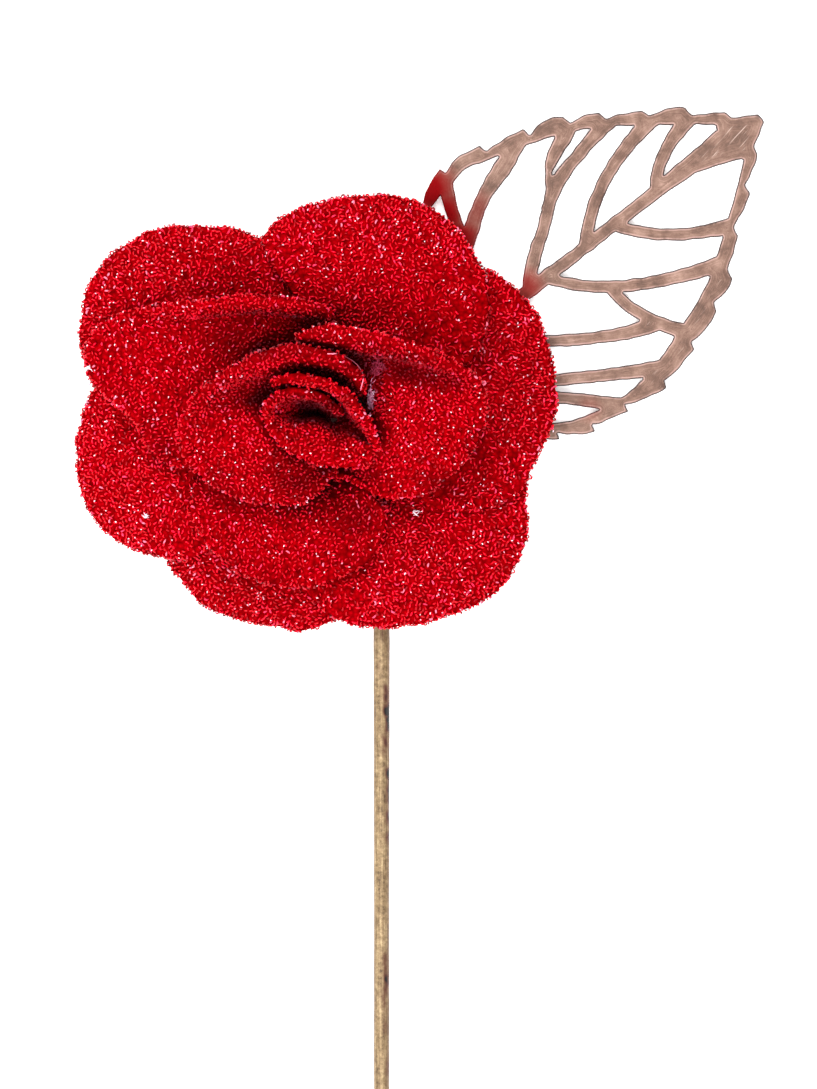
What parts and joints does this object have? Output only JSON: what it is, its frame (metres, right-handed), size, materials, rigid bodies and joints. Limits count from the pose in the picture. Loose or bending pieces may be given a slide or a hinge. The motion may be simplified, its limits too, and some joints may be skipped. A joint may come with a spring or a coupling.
{
  "type": "flower lapel pin",
  "caption": "Lapel pin: an open knitted cloth flower with layered petals round a rolled bud, a pierced metal leaf behind it and a straight stick pin.",
  "frame": {"origin": "on the stick's axis, where the stick leaves the flower", "axes": "+Y along the stick, from its point to the flower; +Z the way the flower faces, off the table it lies on; +X to the right as the flower is seen"},
  "size_m": [0.0629, 0.1019, 0.0151],
  "materials": {
    "petal_cloth": "knitted, with glitter thread",
    "leaf_metal": "antique copper plate, brushed",
    "pin_metal": "worn, satin"
  },
  "bodies": {
    "root": {"pin": "pin_metal", "leaf": "leaf_metal", "outer_petal_1": "petal_cloth", "outer_petal_2": "petal_cloth", "outer_petal_3": "petal_cloth", "outer_petal_4": "petal_cloth", "outer_petal_5": "petal_cloth", "outer_petal_6": "petal_cloth", "mid_petal_left": "petal_cloth", "mid_petal_bottom": "petal_cloth", "bud_petal_right": "petal_cloth", "bud_petal_left": "petal_cloth", "bud_petal_inner": "petal_cloth", "bud_core": "petal_cloth"}
  },
  "joints": []
}
